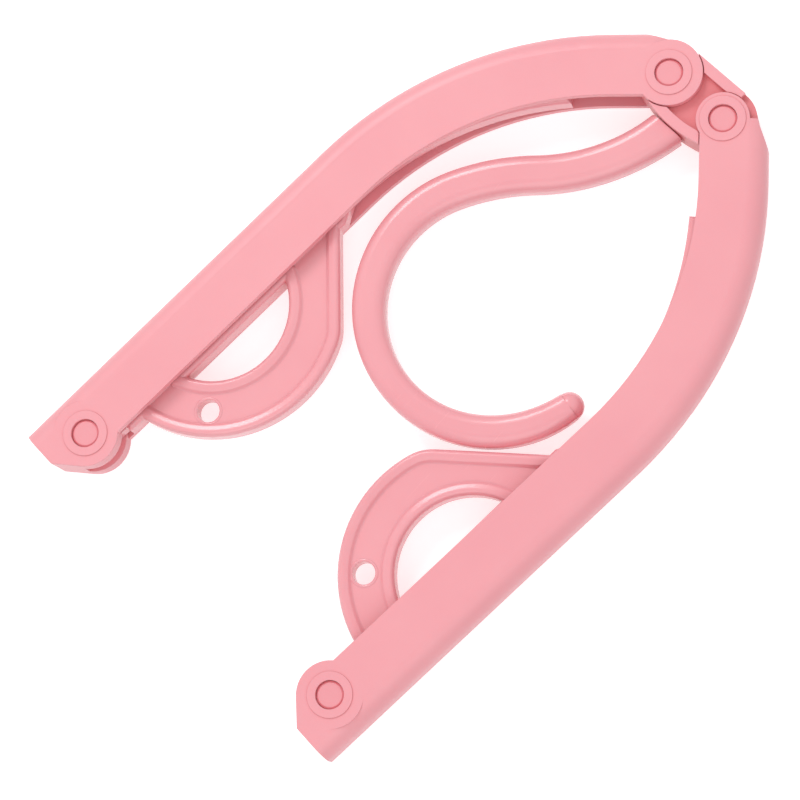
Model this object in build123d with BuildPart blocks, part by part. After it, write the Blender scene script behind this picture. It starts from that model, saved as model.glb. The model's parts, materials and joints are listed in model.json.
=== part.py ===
from build123d import *
import os
from math import acos, atan2, cos, degrees, hypot, radians, sin, sqrt

# Folding travel hanger in moulded plastic, lying on its back with both arms
# folded and the hook stowed between them. Every piece is drawn in the hub's
# frame: the origin is midway between the two hub pivots, in the middle of the
# thickness, +X runs from the left pivot to the right one, +Y is up in use and
# +Z is the front. The last section moves the whole to its resting frame.

# Clearances
running_gap = 0.3
pin_gap = 0.1
overrun = 2.0

# Both arms: a channel with its mouth on the concave side
pivot_spacing = 200.0
hub_run = 17.5
bend_radius = 105.5
bend_angle = 45.7
outer_reach = 12.8
inner_reach = 6.6
arm_thickness = 15.0
plate_wall = 2.4
side_wall = 2.95
arm_edge_radius = 5.5
lobe_radius = 9.85
lobe_step = 8.0
pad_radius = 6.7
pad_height = 0.3
tip_reach = 13.4
tip_flat = 12.2
tip_eye_gap = 4.9
pin_radius = 4.1
slot_count = 3
slot_length = 13.6
slot_height = 1.6
slot_pitch = 26.4
first_slot = 16.6
slot_drop = 3.6

# How far each folded arm stands off the hanger's middle line
left_fold_angle = 16.2
right_fold_angle = 8.6

# Hub between the arms
hub_pivots = 21.1
hub_end_radius = 9.85
hub_belly = 1.55
rim_width = 3.2
rim_height = 2.1
left_front_lobe = lobe_radius
right_front_lobe = 7.8
back_lobe = 7.3

# Hook and its hinge in the hub
hook_root_width = 12.7
hook_shank_width = 11.2
hook_bow_width = 9.6
hook_thickness = 9.5
hook_tip_radius = 4.3
hook_edge_radius = 3.4
shank_radius = 63.0
shank_angle = 48.0
ease_radius = 70.0
ease_angle = 20.0
bow_radius = 37.1
bow_angle = 197.0
bow_taper_share = 0.85
hinge_drop = 0.8
neck_width = 5.2
neck_thickness = 6.4
trunnion_radius = 1.8
trunnion_length = 2.5

# Trouser bars with their loops
bar_short_angle = 6.6
left_bar_proud = 1.2
right_bar_proud = 0.4
bar_end_proud = 0.6
bar_dip = 2.2
bar_dip_gap = 2.2
bar_dip_run = 6.0
bar_thickness = 7.0
bar_edge_radius = 1.3
eye_radius = 6.6
eye_thickness = 4.4
eye_neck_width = 12.0
loop_heel = 104.2
loop_height = 37.1
loop_radius = 39.1
loop_band = 16.7
left_flat_cut = 1.3
right_flat_cut = 3.9
knee_radius = 14.0
loop_flat_angle = 42.5
loop_rim = 3.0
loop_face_depth = 1.1
loop_face_foot = 4.6
hole_radius = 3.35
hole_inset = 7.77
hole_angle = 44.1
left_bar_rest = 0.0
right_bar_rest = 0.7

# Pins
front_recess = 0.4
pin_chamfer = 0.6

# Sizes that follow from the ones above
half_thickness = arm_thickness / 2
gap_half = half_thickness - plate_wall
tongue_half = gap_half - running_gap
bend = radians(bend_angle)
bend_run = hub_run + bend_radius * sin(bend)
bend_fall = bend_radius * (1 - cos(bend))
along_bend = bend_run * cos(bend) + bend_fall * sin(bend)
tip_run = sqrt(along_bend**2 - bend_run**2 - bend_fall**2 + pivot_spacing**2) - along_bend
tip_place = (bend_run + tip_run * cos(bend), bend_fall + tip_run * sin(bend))
lead_angle = degrees(atan2(tip_place[1], tip_place[0]))
hub_belly_reach = hub_end_radius + hub_belly
slot_half = neck_width / 2 + running_gap
neck_top = neck_thickness / 2 - hinge_drop
hub_corner = hypot(hub_belly_reach, tongue_half - hinge_drop)
shank_start = hub_corner + running_gap
wall_reach = outer_reach - side_wall
bar_outer = wall_reach - running_gap
bar_end_inner = inner_reach + bar_end_proud
dipped_inner = inner_reach - bar_dip
bar_half = bar_thickness / 2
boss_radius = lobe_radius + running_gap
loop_opening = loop_radius - loop_band
loop_sink = loop_radius - loop_height
flat_turn = radians(loop_flat_angle)
loop_place = loop_heel - (loop_radius - loop_sink * sin(flat_turn)) / cos(flat_turn)
hole_turn = radians(hole_angle)
hole_place = loop_place - (loop_radius - hole_inset) * cos(hole_turn)
hole_reach = (loop_radius - hole_inset) * sin(hole_turn) - loop_sink
left_flat_reach = loop_radius - left_flat_cut
right_flat_reach = loop_radius - right_flat_cut


def heading(side, turn):
    """Unit direction that leans outwards by turn degrees from straight down."""
    return Vector(side * sin(radians(turn)), -cos(radians(turn)))


def arm_plane(side, fold_angle):
    """Frame of a folded arm: origin at its hub pivot, x along its hub run."""
    direction = heading(side, fold_angle + lead_angle)
    return Plane(origin=(side * hub_pivots / 2, 0, 0), x_dir=(direction.X, direction.Y, 0), z_dir=(0, 0, 1))


def bend_point(hollow, offset, turn):
    """Point beside the arm's pivot line, after it has bent through turn radians."""
    radius = bend_radius + offset
    return (hub_run + radius * sin(turn), hollow * (bend_radius - radius * cos(turn)))


def tip_point(hollow, along, inward):
    """Point near the tip pivot: along the tip run, and towards the concave side."""
    x = tip_place[0] + along * cos(bend) - inward * sin(bend)
    y = tip_place[1] + along * sin(bend) + inward * cos(bend)
    return (x, hollow * y)


def curved_band(hollow, start, start_outer, step, outer, inner, end):
    """Outline of a band that follows the arm from its hub run to past the bend."""
    with BuildLine() as edge:
        Polyline(
            (start, hollow * inner),
            (start, -hollow * start_outer),
            (start + step, -hollow * outer),
            (hub_run, -hollow * outer),
        )
        ThreePointArc(
            (hub_run, -hollow * outer),
            bend_point(hollow, outer, bend / 2),
            bend_point(hollow, outer, bend),
        )
        Polyline(
            bend_point(hollow, outer, bend),
            tip_point(hollow, end, -outer),
            tip_point(hollow, end, inner),
            bend_point(hollow, -inner, bend),
        )
        ThreePointArc(
            bend_point(hollow, -inner, bend),
            bend_point(hollow, -inner, bend / 2),
            (hub_run, hollow * inner),
        )
        Line((hub_run, hollow * inner), (start, hollow * inner))
    return edge.edges()


def tip_end(hollow, wall):
    """Corners of the squared tip, cut off along a tangent of the tip lobe."""
    reach = tip_reach - wall
    shoulder = tip_flat - outer_reach
    touch = atan2(shoulder, tip_reach) + acos(lobe_radius / hypot(tip_reach, shoulder))
    inner_radius = lobe_radius - wall
    shoulder_inside = (inner_radius - reach * cos(touch)) / sin(touch)
    return [
        tip_point(hollow, 0, wall - outer_reach),
        tip_point(hollow, reach, wall - outer_reach),
        tip_point(hollow, reach, shoulder_inside),
        tip_point(hollow, inner_radius * cos(touch), inner_radius * sin(touch)),
    ]


def make_arm(label, side, fold_angle, front_lobe):
    """Channel arm with round lobes that take the hub pin and the tip pin."""
    hollow = -side
    base = arm_plane(side, fold_angle)
    hub_centre = (0, 0)
    tip_centre = tip_point(hollow, 0, 0)
    front = base.offset(gap_half)
    back = base.offset(-half_thickness)
    with BuildPart() as arm:
        with BuildSketch(base):
            make_face(curved_band(hollow, 0, wall_reach, lobe_step, outer_reach, inner_reach, 0))
            with BuildLine():
                Polyline(*tip_end(hollow, 0), tip_centre, close=True)
            make_face()
        extrude(amount=half_thickness, both=True)
        outer_middles = [
            ((lobe_step + hub_run) / 2, -hollow * outer_reach),
            bend_point(hollow, outer_reach, bend / 2),
            tip_point(hollow, (tip_reach - tip_run) / 2, -outer_reach),
        ]
        rounded = ShapeList()
        for face_plane in (base.offset(half_thickness), base.offset(-half_thickness)):
            for x, y in outer_middles:
                rounded += arm.edges().sort_by_distance(face_plane.from_local_coords((x, y, 0)))[:1]
        fillet(rounded, arm_edge_radius)
        for plane, hub_lobe in ((front, front_lobe), (back, back_lobe)):
            with BuildSketch(plane):
                with Locations(hub_centre):
                    Circle(hub_lobe)
                with Locations(tip_centre):
                    Circle(lobe_radius)
            extrude(amount=plate_wall)
        with BuildSketch(base):
            hub_side = -hub_end_radius - overrun
            mouth = lobe_radius + overrun
            make_face(curved_band(hollow, hub_side, wall_reach, overrun, wall_reach, mouth, 0))
            with BuildLine():
                Polyline(*tip_end(hollow, side_wall), tip_point(hollow, 0, mouth), close=True)
            make_face()
            with Locations(hub_centre):
                Circle(hub_end_radius + running_gap)
        extrude(amount=gap_half, both=True, mode=Mode.SUBTRACT)
        for direction in (1, -1):
            with BuildSketch(base.offset(direction * tip_eye_gap / 2)):
                with Locations(tip_centre):
                    Circle(lobe_radius)
            extrude(amount=direction * (gap_half - tip_eye_gap / 2))
        with BuildSketch(base.offset(half_thickness)):
            with Locations(tip_centre):
                Circle(pad_radius)
            with Locations(hub_centre):
                Circle(pad_radius)
        extrude(amount=pad_height)
        with BuildSketch(base):
            with Locations(hub_centre, tip_centre):
                Circle(pin_radius + pin_gap)
        extrude(amount=half_thickness + overrun, both=True, mode=Mode.SUBTRACT)
        slot_bottom = base.offset(-slot_drop - slot_height / 2)
        with BuildSketch(slot_bottom):
            for index in range(slot_count):
                middle = tip_point(hollow, -first_slot - index * slot_pitch, -outer_reach)
                with Locations(Location((middle[0], middle[1], 0), (0, 0, hollow * bend_angle))):
                    Rectangle(slot_length, 2 * side_wall - 2 * pin_gap)
        extrude(amount=slot_height, mode=Mode.SUBTRACT)
    arm.part.label = label
    return arm


def bar_plane(side, fold_angle, rest_angle):
    """Frame of a stowed bar: origin at the tip pivot, x back towards the hub."""
    tip = arm_plane(side, fold_angle).from_local_coords((*tip_point(-side, 0, 0), 0))
    direction = heading(side, fold_angle + lead_angle - bend_angle + rest_angle)
    return Plane(origin=tip, x_dir=(-direction.X, -direction.Y, 0), z_dir=(0, 0, 1))


def bar_point(side, offset, turn):
    """Point beside the bar's middle line, after it has bent through turn radians."""
    radius = bend_radius + offset
    return (tip_run + radius * sin(turn), side * (bend_radius - radius * cos(turn)))


def flat_end(flat_reach, height):
    """How far along the bar a loop's flat comes down to a height beside it."""
    run = flat_reach - (height + loop_sink) * sin(flat_turn)
    return loop_place + run / cos(flat_turn)


def knee_point(side, outer, flat_reach):
    """Where a loop's round outline meets its flat."""
    corner = flat_turn + acos(flat_reach / outer)
    return (loop_place + outer * cos(corner), side * (outer * sin(corner) - loop_sink))


def loop_outline(side, outer, opening, flat_reach, height):
    """Outline of a loop above a height: half a ring with one flat into the bar."""
    corner = flat_turn + acos(flat_reach / outer)
    crown = (corner + radians(180)) / 2
    outer_half = sqrt(outer**2 - (height + loop_sink) ** 2)
    opening_half = sqrt(opening**2 - (height + loop_sink) ** 2)
    start = (loop_place - outer_half, side * height)
    knee = knee_point(side, outer, flat_reach)
    with BuildLine() as edge:
        ThreePointArc(
            start,
            (loop_place + outer * cos(crown), side * (outer * sin(crown) - loop_sink)),
            knee,
        )
        Polyline(
            knee,
            (flat_end(flat_reach, height), side * height),
            (loop_place + opening_half, side * height),
        )
        ThreePointArc(
            (loop_place + opening_half, side * height),
            (loop_place, side * (opening - loop_sink)),
            (loop_place - opening_half, side * height),
        )
        Line((loop_place - opening_half, side * height), start)
    return edge.edges()


def make_bar(label, side, fold_angle, rest_angle, flat_reach, proud):
    """Trouser bar that follows its arm, with a round eye and a D-shaped loop."""
    base = bar_plane(side, fold_angle, rest_angle)
    bar_inner = inner_reach + proud
    bar_turn = radians(bend_angle - bar_short_angle)
    dip_start = flat_end(flat_reach, bar_inner) + bar_dip_gap
    with BuildPart() as bar:
        with BuildSketch(base) as ring_sketch:
            make_face(loop_outline(side, loop_radius, loop_opening, flat_reach, 0))
            whole_knee = knee_point(side, loop_radius, flat_reach)
            fillet(ring_sketch.vertices().sort_by_distance(whole_knee)[0], knee_radius)
            with BuildLine():
                Polyline(
                    bar_point(side, -dipped_inner, 0),
                    (dip_start + bar_dip_run, side * dipped_inner),
                    (dip_start, side * bar_inner),
                    (lobe_radius, side * bar_inner),
                    (lobe_radius, -side * bar_outer),
                    bar_point(side, bar_outer, 0),
                )
                ThreePointArc(
                    bar_point(side, bar_outer, 0),
                    bar_point(side, bar_outer, bar_turn / 2),
                    bar_point(side, bar_outer, bar_turn),
                )
                Line(bar_point(side, bar_outer, bar_turn), bar_point(side, -bar_end_inner, bar_turn))
                ThreePointArc(
                    bar_point(side, -bar_end_inner, bar_turn),
                    bar_point(side, -(bar_end_inner + dipped_inner) / 2, bar_turn / 2),
                    bar_point(side, -dipped_inner, 0),
                )
            make_face()
        extrude(amount=bar_half, both=True)
        flats = bar.edges().filter_by_position(Axis.Z, bar_half, bar_half)
        flats += bar.edges().filter_by_position(Axis.Z, -bar_half, -bar_half)
        fillet(flats, bar_edge_radius)
        for direction in (1, -1):
            with BuildSketch(base.offset(direction * (bar_half - loop_face_depth))) as sunk_face:
                outer, reach = loop_radius - loop_rim, flat_reach - loop_rim
                make_face(loop_outline(side, outer, loop_opening + loop_rim, reach, loop_face_foot))
                knee = sunk_face.vertices().sort_by_distance(knee_point(side, outer, reach))[0]
                fillet(knee, knee_radius - loop_rim)
            extrude(amount=direction * (loop_face_depth + overrun), mode=Mode.SUBTRACT)
        with BuildSketch(base):
            Circle(boss_radius)
        extrude(amount=bar_half + overrun, both=True, mode=Mode.SUBTRACT)
        with BuildSketch(base):
            Circle(eye_radius)
            with Locations((boss_radius / 2, 0)):
                Rectangle(boss_radius + overrun, eye_neck_width)
        extrude(amount=eye_thickness / 2, both=True)
        with BuildSketch(base):
            Circle(pin_radius + pin_gap)
            with Locations((hole_place, side * hole_reach)):
                Circle(hole_radius)
        extrude(amount=bar_half + overrun, both=True, mode=Mode.SUBTRACT)
    bar.part.label = label
    return bar


def make_pin(label, place):
    """Pivot pin, a little below the front face, with both ends chamfered."""
    length = arm_thickness - front_recess
    with BuildPart() as pin:
        with BuildSketch(Plane(origin=(place.X, place.Y, -half_thickness))):
            Circle(pin_radius)
        extrude(amount=length)
        chamfer(pin.edges().filter_by(GeomType.CIRCLE), pin_chamfer)
    pin.part.label = label
    return pin


# Hub: a tongue between the arms' plates, with a raised rim on the front
with BuildPart() as hub:
    with BuildSketch() as hub_outline:
        SlotCenterToCenter(hub_pivots, 2 * hub_end_radius)
        with BuildLine():
            belly = ThreePointArc(
                (-hub_pivots / 2, -hub_end_radius),
                (0, -hub_belly_reach),
                (hub_pivots / 2, -hub_end_radius),
            )
            Line(belly @ 1, belly @ 0)
        make_face()
    extrude(amount=tongue_half, both=True)
    right_lean = heading(1, right_fold_angle + lead_angle)
    rim_stop = inner_reach + running_gap
    with BuildSketch(Plane.XY.offset(tongue_half)):
        add(hub_outline.sketch)
        offset(hub_outline.sketch, -rim_width, mode=Mode.SUBTRACT)
        with Locations((-hub_pivots / 2, 0)):
            Circle(left_front_lobe + running_gap, mode=Mode.SUBTRACT)
        with Locations((hub_pivots / 2, 0)):
            Circle(right_front_lobe + running_gap, mode=Mode.SUBTRACT)
        stop_x = hub_pivots / 2 - rim_stop * -right_lean.Y
        stop_y = -rim_stop * right_lean.X
        with BuildLine():
            Polyline(
                (hub_pivots / 2 - running_gap, hub_belly_reach + overrun),
                (hub_pivots / 2 - running_gap, 0),
                (stop_x, stop_y),
                (stop_x + hub_belly_reach * right_lean.X, stop_y + hub_belly_reach * right_lean.Y),
                (hub_pivots, stop_y + hub_belly_reach * right_lean.Y),
                (hub_pivots, hub_belly_reach + overrun),
                close=True,
            )
        make_face(mode=Mode.SUBTRACT)
    extrude(amount=rim_height)
    with BuildSketch(Plane.XY):
        with Locations((-hub_pivots / 2, 0), (hub_pivots / 2, 0)):
            Circle(pin_radius)
    extrude(amount=tongue_half, both=True, mode=Mode.SUBTRACT)
    with BuildSketch(Plane.XY.offset(-tongue_half)):
        Rectangle(2 * slot_half, 2 * (hub_belly_reach + overrun))
    extrude(amount=tongue_half + neck_top + pin_gap, mode=Mode.SUBTRACT)
    with BuildSketch(Plane(origin=(0, 0, -hinge_drop), z_dir=(1, 0, 0))):
        Circle(trunnion_radius + pin_gap)
    extrude(amount=neck_width / 2 + trunnion_length + pin_gap, both=True, mode=Mode.SUBTRACT)
hub.part.label = "hub"

# Hook: one tapered bar bent along three tangent arcs, on a narrow hinged neck
with BuildPart() as hook:
    with BuildLine() as hook_path:
        root_line = Line((0, 0), (0, -running_gap))
        shank_arc = JernArc(root_line @ 1, root_line % 1, shank_radius, -shank_angle)
        ease_arc = JernArc(shank_arc @ 1, shank_arc % 1, ease_radius, ease_angle)
        bow_arc = JernArc(ease_arc @ 1, ease_arc % 1, bow_radius, bow_angle)
    stations = [
        (shank_arc, 0, hook_root_width),
        (shank_arc, 0.5, hook_shank_width),
        (shank_arc, 1, hook_shank_width),
        (bow_arc, 0, hook_shank_width),
        (bow_arc, 0.5, hook_bow_width),
        (bow_arc, bow_taper_share, hook_bow_width),
    ]
    for arc, share, width in stations:
        with BuildSketch(Plane(origin=arc @ share, x_dir=(0, 0, 1), z_dir=arc % share)):
            RectangleRounded(hook_thickness, width, hook_edge_radius)
    tip_size = 2 * hook_tip_radius
    with BuildSketch(Plane(origin=bow_arc @ 1, x_dir=(0, 0, 1), z_dir=bow_arc % 1)):
        RectangleRounded(tip_size, tip_size, hook_edge_radius)
    sweep(path=hook_path.line, multisection=True)
    with Locations(bow_arc @ 1):
        Sphere(hook_tip_radius)
    hinge_plane = Plane(origin=(0, 0, -hinge_drop), x_dir=(0, 1, 0), z_dir=(1, 0, 0))
    root_stop = hub_belly_reach + running_gap
    with BuildSketch(hinge_plane):
        Circle(shank_start)
        Rectangle(2 * root_stop, 2 * hub_corner)
    extrude(amount=hook_root_width, both=True, mode=Mode.SUBTRACT)
    with BuildSketch(hinge_plane):
        Circle(neck_thickness / 2)
        with Locations((-(shank_start + overrun) / 2, 0)):
            Rectangle(shank_start + overrun, neck_thickness)
    extrude(amount=neck_width / 2, both=True)
    with BuildSketch(hinge_plane):
        Circle(trunnion_radius)
    extrude(amount=neck_width / 2 + trunnion_length, both=True)
hook.part.label = "hook"

left_arm = make_arm("left_arm", -1, left_fold_angle, left_front_lobe)
right_arm = make_arm("right_arm", 1, right_fold_angle, right_front_lobe)
left_bar = make_bar(
    "left_bar", -1, left_fold_angle, left_bar_rest, left_flat_reach, left_bar_proud
)
right_bar = make_bar(
    "right_bar", 1, right_fold_angle, right_bar_rest, right_flat_reach, right_bar_proud
)

# The pins stand at the two ends of each arm
left_hub_place = arm_plane(-1, left_fold_angle).origin
right_hub_place = arm_plane(1, right_fold_angle).origin
left_tip_place = bar_plane(-1, left_fold_angle, left_bar_rest).origin
right_tip_place = bar_plane(1, right_fold_angle, right_bar_rest).origin
left_hub_pin = make_pin("left_hub_pin", left_hub_place)
right_hub_pin = make_pin("right_hub_pin", right_hub_place)
left_tip_pin = make_pin("left_tip_pin", left_tip_place)
right_tip_pin = make_pin("right_tip_pin", right_tip_place)

# The hanger rests on its back, with its frame below the middle of its outline
pieces = [hub, hook, left_arm, right_arm, left_bar, right_bar]
pieces += [left_hub_pin, right_hub_pin, left_tip_pin, right_tip_pin]
boxes = [piece.part.bounding_box() for piece in pieces]
low = Vector(*(min(tuple(box.min)[axis] for box in boxes) for axis in range(3)))
high = Vector(*(max(tuple(box.max)[axis] for box in boxes) for axis in range(3)))
home = Location((-(low.X + high.X) / 2, -(low.Y + high.Y) / 2, -low.Z))
os.makedirs("parts", exist_ok=True)
for piece in pieces:
    piece.part.move(home)
    export_step(piece.part, f"parts/{piece.part.label}.step")

# Places that the joints and fastenings turn on, in the resting frame
bow_centre = Vector(bow_arc.arc_center.X, bow_arc.arc_center.Y, 0)
print("size", high - low)
print("hinge", Vector(0, 0, -hinge_drop) + home.position)
print("hub pivots", left_hub_place + home.position, right_hub_place + home.position)
print("tip pivots", left_tip_place + home.position, right_tip_place + home.position)
print("bow centre", bow_centre + home.position)
for side, fold_angle, rest_angle in (
    (-1, left_fold_angle, left_bar_rest),
    (1, right_fold_angle, right_bar_rest),
):
    frame = bar_plane(side, fold_angle, rest_angle)
    hole = frame.from_local_coords((hole_place, side * hole_reach, 0))
    loop = frame.from_local_coords((loop_place, -side * loop_sink, 0))
    print("loop hole", hole + home.position, "loop centre", loop + home.position)
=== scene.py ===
# %% [markdown]
# A folding travel hanger, moulded in pink plastic, lies on its back with both
# arms folded and its hook stowed between them. The CAD model is the frame of
# this scene: its pieces are already in place. The scene adds the camera, the
# light, the finish of the plastic and the small forms and marks that moulding
# leaves, and takes every place from that frame.

# %% Load the frame
import json
import math

import bpy
import numpy as np
from mathutils import Matrix, Vector


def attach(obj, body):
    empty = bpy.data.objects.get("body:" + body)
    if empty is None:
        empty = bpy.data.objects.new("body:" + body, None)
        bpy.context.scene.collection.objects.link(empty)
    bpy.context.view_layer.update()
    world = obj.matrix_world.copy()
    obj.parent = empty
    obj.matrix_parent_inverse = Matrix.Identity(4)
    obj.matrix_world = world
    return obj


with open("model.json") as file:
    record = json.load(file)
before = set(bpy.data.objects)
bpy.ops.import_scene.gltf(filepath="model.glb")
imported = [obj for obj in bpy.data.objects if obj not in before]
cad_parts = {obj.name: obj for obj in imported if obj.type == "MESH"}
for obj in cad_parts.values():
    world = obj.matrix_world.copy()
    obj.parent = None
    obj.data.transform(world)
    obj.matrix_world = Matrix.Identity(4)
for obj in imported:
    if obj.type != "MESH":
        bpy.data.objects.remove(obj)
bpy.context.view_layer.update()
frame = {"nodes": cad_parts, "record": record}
nodes = frame["nodes"]
record = frame["record"]
MM = 0.001

# %% [markdown]
# The photograph looks almost straight down on the hanger, which lies slanted
# in the picture. A camera could be turned by three angles, but it is easier to
# aim with three directions: where it stands as seen from the object, which way
# is right in the picture, and which way is up. The first two are measured on
# the object's four pivots and the third follows from them.

# %% Camera
LOOK_AT = Vector((4.20, -21.27, 7.5)) * MM
LEAN = math.radians(14.5)
LEAN_SIDE = math.radians(-2.3)
PICTURE_TURN = 0.7281
CAMERA_DISTANCE = 0.9
PICTURE_WIDTH = 232.61 * MM
SENSOR_WIDTH = 36.0
NEAREST, FARTHEST = 0.01, 20.0

towards_camera = Vector((
    math.sin(LEAN) * math.cos(LEAN_SIDE),
    math.sin(LEAN) * math.sin(LEAN_SIDE),
    math.cos(LEAN),
))
picture_right = Vector((math.cos(PICTURE_TURN), math.sin(PICTURE_TURN), 0.0))
picture_right -= picture_right.dot(towards_camera) * towards_camera
picture_right.normalize()
picture_up = towards_camera.cross(picture_right)

camera_data = bpy.data.cameras.new("camera")
camera_data.sensor_width = SENSOR_WIDTH
camera_data.lens = SENSOR_WIDTH * CAMERA_DISTANCE / PICTURE_WIDTH
camera_data.clip_start = NEAREST
camera_data.clip_end = FARTHEST
camera = bpy.data.objects.new("camera", camera_data)
aim = Matrix((picture_right, picture_up, towards_camera)).transposed()
camera.matrix_world = Matrix.Translation(
    LOOK_AT + towards_camera * CAMERA_DISTANCE) @ aim.to_4x4()
bpy.context.scene.collection.objects.link(camera)
bpy.context.scene.camera = camera
bpy.context.scene.view_settings.view_transform = "Standard"
print("lens", round(camera_data.lens, 1), "mm at", tuple(camera.location))

# %% [markdown]
# A finish is a set of shader nodes. Adding and joining nodes by hand repeats
# the same three steps, so a small helper does them: it adds a node of one
# type, sets it up, and fills its inputs. An input takes either a plain value
# or the output of another node, so one dictionary can name both kinds. Inputs
# without a name of their own, as on a Math node, go by their number.


# %% Helpers that add shader nodes
def add_node(tree, kind, inputs=None, **settings):
    """Adds one node, sets it up, and fills the inputs named, with values or joins."""
    node = tree.nodes.new(kind)
    for name, value in settings.items():
        setattr(node, name, value)
    for name, value in (inputs or {}).items():
        if isinstance(value, bpy.types.NodeSocket):
            tree.links.new(value, node.inputs[name])
        else:
            node.inputs[name].default_value = value
    return node


def work_out(tree, operation, *numbers):
    """Output of one Math node over one to three numbers or outputs."""
    inputs = dict(enumerate(numbers))
    return add_node(tree, "ShaderNodeMath", inputs, operation=operation).outputs[0]


def mix_colours(tree, share, first, second):
    """(1 - share) * first + share * second; a Mix node's colours are its inputs 6 and 7."""
    inputs = {0: share, 6: first, 7: second}
    return add_node(tree, "ShaderNodeMix", inputs, data_type="RGBA").outputs[2]


def seen_directly(tree):
    """1 for rays that show the white surroundings: camera, mirror and glass rays."""
    path = add_node(tree, "ShaderNodeLightPath").outputs
    mirrored = work_out(tree, "MAXIMUM", path["Is Camera Ray"], path["Is Glossy Ray"])
    return work_out(tree, "MAXIMUM", mirrored, path["Is Transmission Ray"])


# %% [markdown]
# The hanger lies on nothing but a plain white table. More light would make the
# table white, but would bleach the plastic too. So the floor is one large pale
# sheet with a little light of its own that only direct rays see: it reads as
# white, while the hanger's shadow still shows on it. Seen from below the sheet
# is clear, and soft light from the plastic passes it as well, so the back of
# the hanger can be looked at and is lit like the front.

# %% Floor
FLOOR_REACH = 4.0
FLOOR_DROP = 0.05 * MM
FLOOR_COLOUR = (0.80, 0.79, 0.79, 1.0)
FLOOR_GLOW = 0.58


def make_floor():
    """One square sheet just under the hanger: its corners are FLOOR_REACH * (+-1, +-1)."""
    corners = np.array([(-1, -1), (1, -1), (1, 1), (-1, 1)], float) * FLOOR_REACH
    points = np.column_stack((corners, np.full(4, -FLOOR_DROP)))
    mesh = bpy.data.meshes.new("floor")
    mesh.from_pydata(points.tolist(), [], [(0, 1, 2, 3)])
    sheet = bpy.data.objects.new("floor", mesh)
    bpy.context.scene.collection.objects.link(sheet)
    return sheet


def new_material(name):
    """A material made of nodes, still empty, and its node tree."""
    finish = bpy.data.materials.new(name)
    finish.use_nodes = True
    finish.node_tree.nodes.clear()
    return finish, finish.node_tree


floor = make_floor()
floor_finish, tree = new_material("white_table")
paint = add_node(tree, "ShaderNodeBsdfDiffuse", {"Color": FLOOR_COLOUR})
glow_level = work_out(tree, "MULTIPLY", seen_directly(tree), FLOOR_GLOW)
glow = add_node(tree, "ShaderNodeEmission", {"Strength": glow_level})
white = add_node(tree, "ShaderNodeAddShader", {0: paint.outputs[0], 1: glow.outputs[0]})
clear = add_node(tree, "ShaderNodeBsdfTransparent")
from_below = add_node(tree, "ShaderNodeNewGeometry").outputs["Backfacing"]
from_plastic = add_node(tree, "ShaderNodeLightPath").outputs["Is Diffuse Ray"]
let_through = work_out(tree, "MAXIMUM", from_below, from_plastic)
one_sided = add_node(tree, "ShaderNodeMixShader",
                     {0: let_through, 1: white.outputs[0], 2: clear.outputs[0]})
add_node(tree, "ShaderNodeOutputMaterial", {"Surface": one_sided.outputs[0]})
floor.data.materials.append(floor_finish)
print("floor", 2.0 * FLOOR_REACH, "m wide, nodes", len(tree.nodes))

# %% [markdown]
# A pale room stands round the table. It lights the hanger evenly at a plain
# level, and is full white only where a direct ray meets it, for the same
# reason as the floor.

# %% Surrounding light
WORLD_LEVEL = 0.70

world = bpy.data.worlds.new("studio")
bpy.context.scene.world = world
world.use_nodes = True
tree = world.node_tree
tree.nodes.clear()
level = add_node(tree, "ShaderNodeMapRange", {
    "Value": seen_directly(tree), "To Min": WORLD_LEVEL, "To Max": 1.0})
sky = add_node(tree, "ShaderNodeBackground", {
    "Color": (1.0, 1.0, 1.0, 1.0), "Strength": level.outputs["Result"]})
add_node(tree, "ShaderNodeOutputWorld", {"Surface": sky.outputs[0]})
print("surrounding light at", WORLD_LEVEL)

# %% [markdown]
# In the photograph soft light comes from the left of the picture, so the
# edges on that side shine and the right flanks of the arms are darker. A wide
# area lamp gives that, and a weaker one from the other side keeps the
# channels readable. A point lamp would give the same direction, but a hard
# shadow that the photograph doesn't have.

# %% Lamps
LAMPS = {
    "key": {"place": (-0.70, 0.25, 0.85), "size": 0.40, "watts": 3.6},
    "fill": {"place": (0.60, -0.55, 0.90), "size": 0.90, "watts": 2.6},
}


def add_lamp(name, place, size, watts):
    """Square area lamp at a place in metres, turned to face the hanger."""
    data = bpy.data.lights.new(name, "AREA")
    data.shape = "SQUARE"
    data.size = size
    data.energy = watts
    lamp = bpy.data.objects.new(name, data)
    lamp.location = place
    towards_hanger = LOOK_AT - Vector(place)
    lamp.rotation_euler = towards_hanger.to_track_quat("-Z", "Y").to_euler()
    bpy.context.scene.collection.objects.link(lamp)


for name, lamp in LAMPS.items():
    add_lamp(name, **lamp)
print("lamps:", sorted(LAMPS))

# %% [markdown]
# Moulded plastic isn't one flat colour. The melt flows in broad faint clouds,
# the steel mould leaves a very fine grain, and handling leaves hairline
# scuffs. Each finish could have its own copy of the nodes for these, but a
# group is better: it is built once, and each finish gives it its own values.
# A group begins with its named inputs and outputs, and with the place of the
# shaded point in the object's own coordinates, so a pattern stays on its piece
# when the piece moves.


# %% The start of a node group
def start_group(name, inputs, outputs):
    """Group with inputs {name: (type, value or None)} and outputs {name: type}."""
    group = bpy.data.node_groups.new(name, "ShaderNodeTree")
    for label, (kind, value) in inputs.items():
        made = group.interface.new_socket(name=label, in_out="INPUT", socket_type=kind)
        if value is not None:
            made.default_value = value
    for label, kind in outputs.items():
        group.interface.new_socket(name=label, in_out="OUTPUT", socket_type=kind)
    given = group.nodes.new("NodeGroupInput").outputs
    result = group.nodes.new("NodeGroupOutput").inputs
    place = add_node(group, "ShaderNodeTexCoord").outputs["Object"]
    return group, given, result, place


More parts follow.
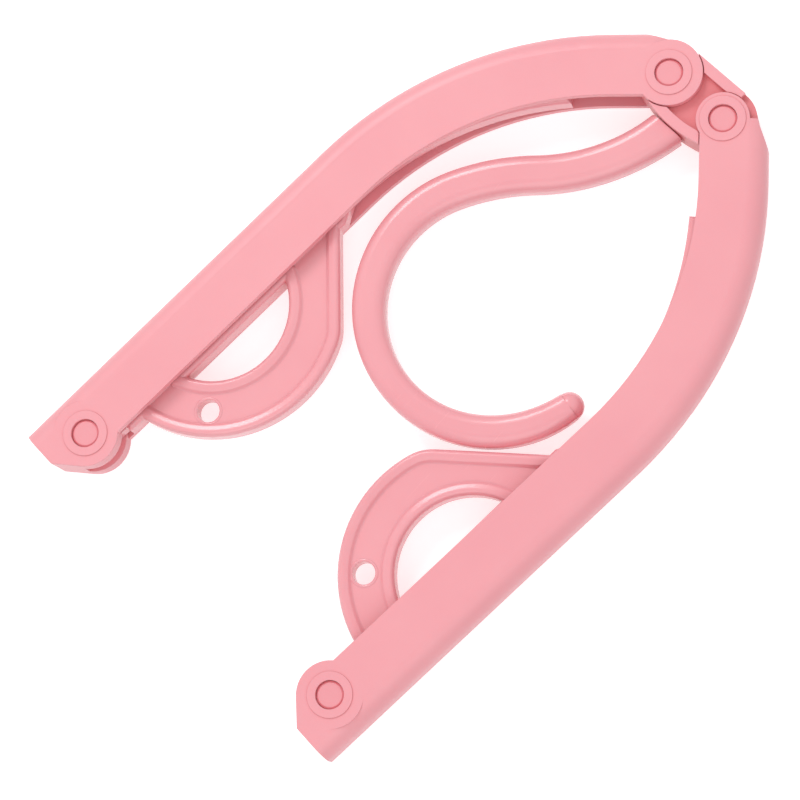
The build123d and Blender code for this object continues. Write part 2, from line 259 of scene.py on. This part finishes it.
CLOUD_SCALE, GRAIN_SCALE = 28.0, 2600.0
NUMBER, COLOUR = "NodeSocketFloat", "NodeSocketColor"
skin, given, skin_result, place = start_group(
    "moulded_skin",
    {
        "Colour": (COLOUR, None), "Cloud colour": (COLOUR, None),
        "Cloud scale": (NUMBER, CLOUD_SCALE), "Grain scale": (NUMBER, GRAIN_SCALE),
        "Roughness": (NUMBER, None), "Roughness spread": (NUMBER, None),
        "Scuffs": (NUMBER, None),
    },
    {"Colour": COLOUR, "Roughness": NUMBER, "Height": NUMBER},
)
print("moulded skin takes", [socket.name for socket in given if socket.name])

# %% [markdown]
# The clouds are a noise whose blobs are about 36 mm across. An image of clouds
# would need to be wrapped round each piece, while a noise in space fits any
# shape. Only the higher part of it counts, so much of the surface keeps its
# plain colour.

# %% Clouds in the colour
CLOUD_FROM, CLOUD_FULL = 0.35, 0.70

clouds = add_node(skin, "ShaderNodeTexNoise", {
    "Vector": place, "Scale": given["Cloud scale"],
    "Detail": 3.0, "Roughness": 0.55}).outputs["Fac"]
cloud_share = add_node(skin, "ShaderNodeMapRange", {
    "Value": clouds, "From Min": CLOUD_FROM, "From Max": CLOUD_FULL}).outputs["Result"]
clouded = mix_colours(skin, cloud_share, given["Colour"], given["Cloud colour"])
skin.links.new(clouded, skin_result["Colour"])
print("clouds", round(1.0 / CLOUD_SCALE / MM), "mm across")

# %% [markdown]
# The grain is a second noise, under half a millimetre. For the scuffs a third
# one is squeezed across and stretched along one slanted direction, so its
# blobs become hairs, and only the highest of them are kept. A scuff is duller
# than the rest and a little lower, while the clouds change the gloss slightly.

# %% Grain and scuffs in the gloss and the height
SCUFF_TURN = math.radians(28.0)
SCUFF_STRETCH = (2200.0, 45.0, 600.0)
SCUFF_FROM, SCUFF_FULL = 0.66, 0.74
SCUFF_DULLNESS, SCUFF_HEIGHT = 0.25, -0.6

grain = add_node(skin, "ShaderNodeTexNoise", {
    "Vector": place, "Scale": given["Grain scale"], "Detail": 2.0}).outputs["Fac"]
slanted = add_node(skin, "ShaderNodeMapping", {
    "Vector": place, "Rotation": (0.0, 0.0, SCUFF_TURN), "Scale": SCUFF_STRETCH})
hairs = add_node(skin, "ShaderNodeTexNoise", {
    "Vector": slanted.outputs[0], "Scale": 1.0, "Detail": 1.0}).outputs["Fac"]
hair_share = add_node(skin, "ShaderNodeMapRange", {
    "Value": hairs, "From Min": SCUFF_FROM, "From Max": SCUFF_FULL}).outputs["Result"]
scuff = work_out(skin, "MULTIPLY", hair_share, given["Scuffs"])
spread = work_out(skin, "MULTIPLY", clouds, given["Roughness spread"])
rough = work_out(skin, "ADD", given["Roughness"], spread)
skin.links.new(work_out(skin, "MULTIPLY_ADD", scuff, SCUFF_DULLNESS, rough),
               skin_result["Roughness"])
skin.links.new(work_out(skin, "MULTIPLY_ADD", scuff, SCUFF_HEIGHT, grain),
               skin_result["Height"])
print("moulded skin:", len(skin.nodes), "nodes")

# %% [markdown]
# In a hollow the light bounces from pink to pink, and the shade there grows
# deeper and redder than white light alone explains. Many light bounces would
# show it, slowly. Here that shade is painted into the colour instead: an Ambient
# Occlusion node measures how much of the surroundings a point can see, here
# within 6 mm and on its own piece alone, so that a joint that opens doesn't
# change the painted shade. The hub's sunk floor is too wide for that, so there
# the shade is painted by height: below the rim the colour deepens.


# %% Painted shade in the hollows
def srgb(red, green, blue):
    """Linear colour of an 8-bit screen colour: the power 2.4 curve of sRGB."""
    screen = np.array((red, green, blue), float) / 255.0
    linear = np.where(screen <= 0.04045, screen / 12.92,
                      ((screen + 0.055) / 1.055) ** 2.4)
    return (*linear.tolist(), 1.0)


RECESS_REACH = 6.0 * MM
# Colour of the painted shade, and its largest share in hollows and on the hub's sunk floor.
PAINTED_SHADE_COLOUR = srgb(222, 104, 106)
HOLLOW_SHADE_SHARE, SUNK_FLOOR_SHADE_SHARE = 0.75, 0.55
CLOSED_IN, OPEN = 0.20, 0.85
RAY_SAMPLES = 6


def painted_hollow_shade(tree):
    """Share of painted shade: full where a point is closed in, falling to 0 where it is
    open.
    """
    seen = add_node(tree, "ShaderNodeAmbientOcclusion", {"Distance": RECESS_REACH},
                    samples=RAY_SAMPLES, only_local=True).outputs["AO"]
    return add_node(tree, "ShaderNodeMapRange", {
        "Value": seen, "From Min": CLOSED_IN, "From Max": OPEN,
        "To Min": HOLLOW_SHADE_SHARE, "To Max": 0.0}).outputs["Result"]


def painted_sunk_floor_shade(tree, bottom, top):
    """Share of painted shade on a sunk floor: full at the bottom height and below, 0 at the
    top height.
    """
    place = add_node(tree, "ShaderNodeTexCoord").outputs["Object"]
    height = add_node(tree, "ShaderNodeSeparateXYZ", {"Vector": place}).outputs["Z"]
    return add_node(tree, "ShaderNodeMapRange", {
        "Value": height, "From Min": bottom, "From Max": top,
        "To Min": SUNK_FLOOR_SHADE_SHARE, "To Max": 0.0}).outputs["Result"]


# Prints the colour of the painted shade.
print("recess colour", [round(part, 3) for part in PAINTED_SHADE_COLOUR])

# %% [markdown]
# Now the plastic itself. A mould's edges are never quite sharp, and a line of
# light along them is what makes plastic look moulded. Cutting that rounding
# into every edge would multiply the faces, so a Bevel node bends the normals
# within a quarter millimetre of an edge instead, and the grain's bump goes on
# top. A clear coat stands for the polished skin, and a little light passes
# under the surface, which softens the shading as thin plastic does.

# %% The plastic
EDGE_ROUND = 0.25 * MM
GRAIN_HEIGHT = 0.012 * MM
GRAIN_STRENGTH = 0.35
PLASTIC_IOR, COAT_ROUGHNESS = 1.49, 0.12
GLOW_SHARE, GLOW_DEPTH = 0.10, 2.0 * MM
GLOW_REACH = (1.0, 0.35, 0.3)


def make_plastic(name, colour, cloud_colour, roughness, spread, scuffs, coat, floor_shade_heights=None):
    """Moulded plastic with painted shade in its hollows; an optional pair of heights adds
    painted shade on a sunk floor.
    """
    finish, tree = new_material(name)
    surface = add_node(tree, "ShaderNodeGroup", node_tree=skin)
    for label, value in (("Colour", colour), ("Cloud colour", cloud_colour),
                         ("Roughness", roughness), ("Roughness spread", spread),
                         ("Scuffs", scuffs)):
        surface.inputs[label].default_value = value
    soft_edge = add_node(tree, "ShaderNodeBevel", {"Radius": EDGE_ROUND},
                         samples=RAY_SAMPLES)
    bump = add_node(tree, "ShaderNodeBump", {
        "Strength": GRAIN_STRENGTH, "Distance": GRAIN_HEIGHT,
        "Height": surface.outputs["Height"], "Normal": soft_edge.outputs[0]})
    # Painted shade: the base colour darkens towards the painted shade colour in hollows
    # and, if heights are given, on a sunk floor.
    painted_shade_share = painted_hollow_shade(tree)
    if floor_shade_heights is not None:
        painted_shade_share = work_out(tree, "MAXIMUM", painted_shade_share, painted_sunk_floor_shade(tree, *floor_shade_heights))
    shader = add_node(tree, "ShaderNodeBsdfPrincipled", {
        "Base Color": mix_colours(tree, painted_shade_share, surface.outputs["Colour"], PAINTED_SHADE_COLOUR),
        "Roughness": surface.outputs["Roughness"], "Normal": bump.outputs["Normal"],
        "IOR": PLASTIC_IOR, "Coat Weight": coat, "Coat Roughness": COAT_ROUGHNESS,
        "Subsurface Weight": GLOW_SHARE, "Subsurface Radius": GLOW_REACH,
        "Subsurface Scale": GLOW_DEPTH})
    add_node(tree, "ShaderNodeOutputMaterial", {"Surface": shader.outputs[0]})
    return finish


# %% [markdown]
# The finishes differ only in their values. The arms and the hub are satin,
# the hook and the bars come from a smoother mould and shine more, and the
# pins are a touch deeper in colour. Every finish has painted shade in its
# hollows, and the hub's satin also has painted shade that deepens the colour
# of its sunk floor.

# %% Finishes of the ten pieces
satin = make_plastic("satin_plastic", srgb(247, 168, 175), srgb(244, 163, 171),
                     roughness=0.36, spread=0.10, scuffs=0.2, coat=0.05)
glossy = make_plastic("glossy_plastic", srgb(247, 168, 175), srgb(244, 162, 170),
                      roughness=0.20, spread=0.08, scuffs=0.12, coat=0.35)
pin_finish = make_plastic("pin_plastic", srgb(246, 165, 172), srgb(242, 158, 166),
                          roughness=0.30, spread=0.08, scuffs=0.15, coat=0.10)
# The hub's finish also paints shade on its sunk floor, between these two heights.
hub_finish = make_plastic("hub_plastic", srgb(247, 168, 175), srgb(244, 163, 171),
                          roughness=0.36, spread=0.10, scuffs=0.2, coat=0.05,
                          floor_shade_heights=(12.5 * MM, 13.6 * MM))

FINISH_OF_NODE = {
    "hub": hub_finish, "left_arm": satin, "right_arm": satin,
    "hook": glossy, "left_bar": glossy, "right_bar": glossy,
    "left_hub_pin": pin_finish, "right_hub_pin": pin_finish,
    "left_tip_pin": pin_finish, "right_tip_pin": pin_finish,
}


def put_on(node, finish):
    """Gives a CAD piece a finish in every material slot that it has."""
    slots = nodes[node].material_slots
    if not slots:
        nodes[node].data.materials.append(finish)
    for material_slot in slots:
        material_slot.material = finish


for name, finish in FINISH_OF_NODE.items():
    put_on(name, finish)
print("finished nodes:", len(FINISH_OF_NODE))

# %% [markdown]
# Each trouser bar carries a D-shaped loop. Its band is a thin web between two
# rims, and on the real one nothing there is sharp: the rims are rounded and
# run into the web in a soft hollow. Sculpting that, or bevelling the CAD mesh,
# would be slow and uneven. Instead one profile is carried along the outline of
# the band, so the hollow has the same shape all the way round.
#
# First the place of each loop. Its sizes are known along its bar, from the
# bar's pivot, and the other bar mirrors them. The frame holds each pivot and
# each loop's hole, and these two points fix where a bar lies.

# %% Where the loops lie
LOOP_MIDDLE = np.array((53.0, -2.0)) * MM
HOLE_MIDDLE = np.array((30.5, 19.8)) * MM
LOOP_REACH = 39.1 * MM
OPENING_REACH = 22.4 * MM
KNEE_ROUND = 14.0 * MM
FLAT_LEAN = math.radians(42.5)
WEB_START = 4.6 * MM
LOOPS = {
    "left_bar": {"turn": -1.0, "flat": 37.8 * MM},
    "right_bar": {"turn": 1.0, "flat": 35.2 * MM},
}

pivots = {joint["name"]: np.array(joint["pos_m"][:2])
          for joint in record["behaviour"]["joints"]}
holes = {mount["name"]: np.array(mount["pos_m"][:2]) for mount in record["mounts"]}
for name, loop in LOOPS.items():
    loop["pivot"] = pivots[name + "_swing"]
    chord = holes[name.replace("bar", "loop_hole")] - loop["pivot"]
    along, across = HOLE_MIDDLE
    # The bar's direction d solves chord = along * d + across * (d turned a quarter).
    quarter = np.array(((0.0, -1.0), (1.0, 0.0))) * loop["turn"]
    loop["along"] = along * chord - across * quarter @ chord
    loop["along"] /= along**2 + across**2
    loop["inward"] = quarter @ loop["along"]
    print(name, "runs along", loop["along"].round(4),
          "length", np.linalg.norm(loop["along"]).round(4))

# %% [markdown]
# Next the lines that the profile follows. The band's outer edge is an arc
# round the loop's middle, a smaller arc at the knee and a straight flat, and
# its inner edge is one arc round the opening. Both could be traced as points,
# but arcs keep the edges smooth at any count of points. With each point goes a
# unit normal that leads from the edge into the band.

# %% Lines along the band
OUTER_POINTS, KNEE_POINTS, FLAT_POINTS = 90, 24, 14
OPENING_POINTS, FOOT_POINTS = 70, 12
FOOT_INSET = 1.5 * MM
RISE = WEB_START - LOOP_MIDDLE[1]


def arc_line(middle, reach, start, end, count, inwards):
    """Points middle + reach * ray and normals -ray (inwards) or +ray, ray = (cos, sin)."""
    angle = np.linspace(start, end, count)
    ray = np.column_stack((np.cos(angle), np.sin(angle)))
    return np.asarray(middle) + reach * ray, ray * (-1.0 if inwards else 1.0)


def outer_line(loop):
    """Outer edge: big arc, knee arc tangent to arc and flat, then the straight flat."""
    lean = np.array((math.cos(FLAT_LEAN), math.sin(FLAT_LEAN)))
    beside = np.array((-lean[1], lean[0]))
    inner = loop["flat"] - KNEE_ROUND
    off_flat = math.sqrt((LOOP_REACH - KNEE_ROUND) ** 2 - inner**2)
    knee = inner * lean + off_flat * beside
    first = math.pi - math.asin(RISE / LOOP_REACH)
    turn = math.atan2(knee[1], knee[0])
    big, big_normal = arc_line((0.0, 0.0), LOOP_REACH, first, turn, OUTER_POINTS, True)
    small, small_normal = arc_line(knee, KNEE_ROUND, turn, FLAT_LEAN, KNEE_POINTS, True)
    foot = small[-1] - beside * (small[-1][1] - RISE) / beside[1]
    run = np.linspace(0.0, 1.0, FLAT_POINTS)[1:, None]
    flat = small[-1] + run * (foot - small[-1])
    flat_normal = np.repeat(-lean[None], len(flat), axis=0)
    points = np.vstack((big, small[1:], flat)) + LOOP_MIDDLE
    return points, np.vstack((big_normal, small_normal[1:], flat_normal))


def opening_line():
    """Edge of the opening, an arc whose normals point out into the band."""
    lift = math.asin(RISE / OPENING_REACH)
    points, normals = arc_line((0.0, 0.0), OPENING_REACH, lift, math.pi - lift,
                               OPENING_POINTS, False)
    return points + LOOP_MIDDLE, normals


def foot_lines(loop):
    """The two short lines where the web ends against the bar, beside the opening."""
    inside = math.sqrt(OPENING_REACH**2 - RISE**2)
    outside = math.sqrt(LOOP_REACH**2 - RISE**2)
    flat_foot = (loop["flat"] - RISE * math.sin(FLAT_LEAN)) / math.cos(FLAT_LEAN)
    for start, end in ((-outside, -inside), (inside, flat_foot)):
        across = np.linspace(start + FOOT_INSET, end - FOOT_INSET, FOOT_POINTS)
        points = np.column_stack((across, np.full(FOOT_POINTS, RISE))) + LOOP_MIDDLE
        yield points, np.repeat(((0.0, 1.0),), FOOT_POINTS, axis=0)


for name, loop in LOOPS.items():
    edge = np.diff(outer_line(loop)[0], axis=0)
    print(name, "outer edge mm", round(np.linalg.norm(edge, axis=1).sum() / MM, 1))

# %% [markdown]
# The profile is a height for every distance from the edge. It could be drawn
# by hand as a few points, but a sine and a smooth step are level where they
# meet their neighbours, so no crease shows. It begins inside the solid, swells
# over the rim by a third of a millimetre and falls to the web. Both its ends
# tuck in below the surface that they lie on.

# %% Profile of a rounded rim
WEB_DEPTH = 1.1 * MM
RIM_START, RIM_WIDTH = 0.25 * MM, 3.0 * MM
HOLLOW_START, HOLLOW_END = 3.1 * MM, 4.3 * MM
RIM_STEPS, HOLLOW_STEPS = 20, 12
EDGE_CORNER = 1.3 * MM
RIM_CROWN, CROWN_POWER = 0.30 * MM, 1.2
FOOT_START, FOOT_END, FOOT_STEPS = -0.2 * MM, 1.5 * MM, 14
FOOT_RUN, FOOT_LIFT = 1.4 * MM, 0.015 * MM
RIM_TUCK, FOOT_TUCK = (0.05 * MM, 0.03 * MM), (0.05 * MM, 0.04 * MM)


def smooth_step(value):
    """3v^2 - 2v^3 between 0 and 1, level at both ends."""
    value = np.clip(value, 0.0, 1.0)
    return value * value * (3.0 - 2.0 * value)


def tucked(height, tuck):
    """The same heights, with the first and the last of them set lower by the tuck."""
    height[0] -= tuck[0]
    height[-1] -= tuck[1]
    return height


def rim_profile():
    """Distance, and height: crown * sin^1.2, less the corner's quarter round and a step."""
    away = np.concatenate((np.linspace(RIM_START, RIM_WIDTH, RIM_STEPS),
                           np.linspace(HOLLOW_START, HOLLOW_END, HOLLOW_STEPS)))
    to_edge = np.clip(EDGE_CORNER - away, 0.0, None)
    corner = EDGE_CORNER - np.sqrt(EDGE_CORNER**2 - to_edge**2)
    arch = np.sin(math.pi * np.clip(away / RIM_WIDTH, 0.0, 1.0))
    fall = WEB_DEPTH * smooth_step((away - RIM_WIDTH) / (HOLLOW_END - RIM_WIDTH))
    return away, tucked(RIM_CROWN * arch**CROWN_POWER - corner - fall, RIM_TUCK)


def foot_profile():
    """Distance, and height: the smooth step alone, from the bar's top to the web."""
    away = np.linspace(FOOT_START, FOOT_END, FOOT_STEPS)
    height = FOOT_LIFT - WEB_DEPTH * smooth_step(away / FOOT_RUN)
    return away, tucked(height, FOOT_TUCK)


print("rim height span mm", (np.ptp(rim_profile()[1]) / MM).round(2))

# %% [markdown]
# A profile that is carried along a line gives a grid of points: one row for
# each point of the line, one column for each point of the profile. A thin
# sheet of them would show its edges, so the profile closes inside the solid,
# and each piece becomes a closed body with no edge to be seen. The whole grid
# is one array, and the mesh takes it as it is.

# %% From profile to body
BODY_DEPTH = 0.4 * MM


def carry_profile(points, normals, profile, face, direction, taper):
    """Rows points[i] + away * normals[i] at face + direction * height, swell * taper[i]."""
    away, height = profile
    inside = min(height.min(), 0.0) - BODY_DEPTH
    away = np.concatenate((away, away[::-1]))
    raised = np.concatenate((height, np.full(len(height), inside)))
    plane = points[:, None, :] + away[None, :, None] * normals[:, None, :]
    swell = np.maximum(raised, 0.0)[None, :] * taper[:, None]
    level = face + direction * (swell + np.minimum(raised, 0.0)[None, :])
    return np.dstack((plane, level))


def in_place(loop, rows):
    """Turns rows of (along, inward, height) into the frame's own x, y and z."""
    flat = loop["pivot"] + rows[..., :1] * loop["along"]
    return np.dstack((flat + rows[..., 1:2] * loop["inward"], rows[..., 2]))


def closed_mesh(name, rows, ring=False):
    """Quads between rows of a closed profile; a ring joins its ends, a bar gets caps."""
    count, around = rows.shape[:2]
    spans = count if ring else count - 1
    i, j = np.meshgrid(np.arange(spans), np.arange(around), indexing="ij")
    k, below = (j + 1) % around, (i + 1) % count
    corners = (i * around + j, i * around + k, below * around + k, below * around + j)
    faces = np.stack(corners, -1).reshape(-1, 4).tolist()
    if not ring:
        first, last = np.arange(around)[::-1], np.arange(around) + spans * around
        faces += [first.tolist(), last.tolist()]
    mesh = bpy.data.meshes.new(name)
    mesh.from_pydata(rows.reshape(-1, 3).tolist(), [], faces)
    mesh.shade_smooth()
    piece = bpy.data.objects.new(name, mesh)
    bpy.context.scene.collection.objects.link(piece)
    return piece


# %% [markdown]
# A body's faces have to point outwards. Whether they do depends on which way
# round the line runs, and the two bars are mirror images. Instead of sorting
# that out by hand, the volume tells: it comes out below zero when the faces
# point inwards, and then they are turned round. Each piece also rides on the
# body of its bar, so it swings with it.

# %% Faces outwards, a finish and a body to ride on
BODY_OF_NODE = {"left_bar": "left_bar", "right_bar": "right_bar"}
volumes = {}


def signed_volume(piece):
    """Sum of a . (b x c) / 6 over the triangles: above zero where faces point outwards."""
    mesh = piece.data
    mesh.calc_loop_triangles()
    corner = np.empty(len(mesh.vertices) * 3)
    mesh.vertices.foreach_get("co", corner)
    corner = corner.reshape(-1, 3)
    index = np.empty(len(mesh.loop_triangles) * 3, int)
    mesh.loop_triangles.foreach_get("vertices", index)
    a, b, c = (corner[index[step::3]] for step in range(3))
    return float(np.einsum("ij,ij->i", a, np.cross(b, c)).sum() / 6.0)


def dress(piece, node, finish):
    """Turns the faces outwards, and gives the piece its finish, body and slot."""
    if signed_volume(piece) < 0.0:
        piece.data.flip_normals()
    piece.data.materials.append(finish)
    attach(piece, BODY_OF_NODE[node])
    volumes[piece.name] = signed_volume(piece) / MM**3


# %% [markdown]
# Every loop has the same lines on its front and on its back: the outer rim,
# the rim of the opening, and the two feet of the web. The swell of a rim fades
# out towards its two ends, because they run in under the arm, where there is
# only a small gap.

# %% Rounded rims on both faces of both loops
BAR_FACES = {"front": (11.0 * MM, 1.0), "back": (4.0 * MM, -1.0)}
TAPER_LENGTH = 5.0 * MM


def end_taper(points, length):
    """0 at both ends of a line, rising smoothly to 1 within the given length."""
    step = np.linalg.norm(np.diff(points, axis=0), axis=1)
    run = np.concatenate(((0.0,), np.cumsum(step)))
    return smooth_step(run / length) * smooth_step((run[-1] - run) / length)


for name, loop in LOOPS.items():
    lines = {
        "outer_rim": (*outer_line(loop), rim_profile()),
        "opening_rim": (*opening_line(), rim_profile()),
    }
    for number, (points, normals) in enumerate(foot_lines(loop), 1):
        lines[f"web_foot_{number}"] = (points, normals, foot_profile())
    for face_name, (face, direction) in BAR_FACES.items():
        for line_name, (points, normals, profile) in lines.items():
            taper = end_taper(points, TAPER_LENGTH)
            rows = carry_profile(points, normals, profile, face, direction, taper)
            piece = closed_mesh(f"{name}_{line_name}_{face_name}", in_place(loop, rows))
            dress(piece, name, glossy)
print("rim pieces:", len(volumes), "smallest mm3:", round(min(volumes.values()), 2))

# %% [markdown]
# The round hole in each web was made by a core pin of the mould, and the
# plastic stands up round it in a small soft lip. Blender's own torus would
# have to be flattened to be so low and wide. It is the same idea as the rims:
# one low arch as a profile, carried once round a circle.

# %% Lips of the two holes
HOLE_RADIUS = 3.35 * MM
LIP_START, LIP_WIDTH = 0.05 * MM, 0.9 * MM
LIP_HEIGHT, LIP_SINK = 0.22 * MM, 0.02 * MM
LIP_STEPS, LIP_POINTS = 11, 60


def lip_profile():
    """Half a sine wave over the lip's width, sunk a little at both ends."""
    share = np.linspace(0.0, 1.0, LIP_STEPS)
    away = LIP_START + share * LIP_WIDTH
    return away, LIP_HEIGHT * np.sin(math.pi * share) - LIP_SINK


for name, loop in LOOPS.items():
    points, normals = arc_line(HOLE_MIDDLE, HOLE_RADIUS, 0.0, 2.0 * math.pi,
                               LIP_POINTS + 1, False)
    for face_name, (face, direction) in BAR_FACES.items():
        web = face - direction * WEB_DEPTH
        rows = carry_profile(points[:-1], normals[:-1], lip_profile(), web, direction,
                             np.ones(LIP_POINTS))
        piece = closed_mesh(f"{name}_hole_lip_{face_name}", in_place(loop, rows), ring=True)
        dress(piece, name, glossy)
print("lip volume mm3:", round(volumes["left_bar_hole_lip_front"], 2))

# %% [markdown]
# On the back of each arm the mould's ejector pins pushed the hot part out, and
# each left a shallow ring. A ring of real geometry would need a fine mesh
# there, so a small node group draws it instead: it measures the distance from
# a point to the ring's line, and gives a groove where that distance is small.
# The same distance would draw a ring on the front, so a height limit keeps it
# to the back.

# %% One ejector mark, a node group
MARK_RADIUS, MARK_WIDTH = 3.0 * MM, 0.5 * MM
BACK_LEVEL = 0.4 * MM


def make_mark_group():
    """Height -(1 - smooth(|distance to centre - radius| / width)), on the back alone."""
    group, given, result, place = start_group(
        "ejector_mark",
        {
            "Centre": ("NodeSocketVector", None), "Radius": (NUMBER, MARK_RADIUS),
            "Width": (NUMBER, MARK_WIDTH), "Back level": (NUMBER, BACK_LEVEL),
        },
        {"Height": NUMBER},
    )
    away = add_node(group, "ShaderNodeVectorMath", {0: place, 1: given["Centre"]},
                    operation="DISTANCE").outputs["Value"]
    off_line = work_out(group, "ABSOLUTE",
                        work_out(group, "SUBTRACT", away, given["Radius"]))
    groove = add_node(group, "ShaderNodeMapRange", {
        "Value": off_line, "From Max": given["Width"], "To Min": -1.0, "To Max": 0.0,
        }, interpolation_type="SMOOTHSTEP").outputs["Result"]
    height = add_node(group, "ShaderNodeSeparateXYZ", {"Vector": place}).outputs["Z"]
    on_back = work_out(group, "LESS_THAN", height, given["Back level"])
    group.links.new(work_out(group, "MULTIPLY", groove, on_back), result["Height"])
    return group


mark_group = make_mark_group()
print("ejector mark:", len(mark_group.nodes), "nodes")

# %% [markdown]
# Three ejector pins stood in a row under each arm's straight run. Their grooves
# are added up and bend the normal before the skin's own bump does, so the grain
# runs on through them. The centres differ from arm to arm, so each arm gets a
# copy of the satin finish with its own marks.

# %% Ejector marks on the backs of the arms
MARK_PLACES = np.array(((34.0, -3.0), (64.0, -3.0), (94.0, -3.0))) * MM
MARK_DEPTH = 0.15 * MM


def add_marks(finish, centres):
    """Grooves joined by adding their heights, in a Bump node before the skin's bump."""
    tree = finish.node_tree
    skin_bump = next(node for node in tree.nodes if node.type == "BUMP")
    total = 0.0
    for centre in centres:
        mark = add_node(tree, "ShaderNodeGroup", node_tree=mark_group)
        mark.inputs["Centre"].default_value = (*centre, 0.0)
        total = work_out(tree, "ADD", total, mark.outputs["Height"])
    soft_edge = skin_bump.inputs["Normal"].links[0].from_socket
    groove = add_node(tree, "ShaderNodeBump", {
        "Distance": MARK_DEPTH, "Height": total, "Normal": soft_edge})
    tree.links.new(groove.outputs["Normal"], skin_bump.inputs["Normal"])


for arm, bar in (("left_arm", "left_bar"), ("right_arm", "right_bar")):
    loop = LOOPS[bar]
    along, inward = MARK_PLACES[:, :1], MARK_PLACES[:, 1:]
    centres = loop["pivot"] + along * loop["along"] + inward * loop["inward"]
    arm_finish = satin.copy()
    arm_finish.name = arm + "_plastic"
    add_marks(arm_finish, centres.tolist())
    put_on(arm, arm_finish)
    print(arm, "ejector marks at mm", (centres / MM).round(1).tolist())
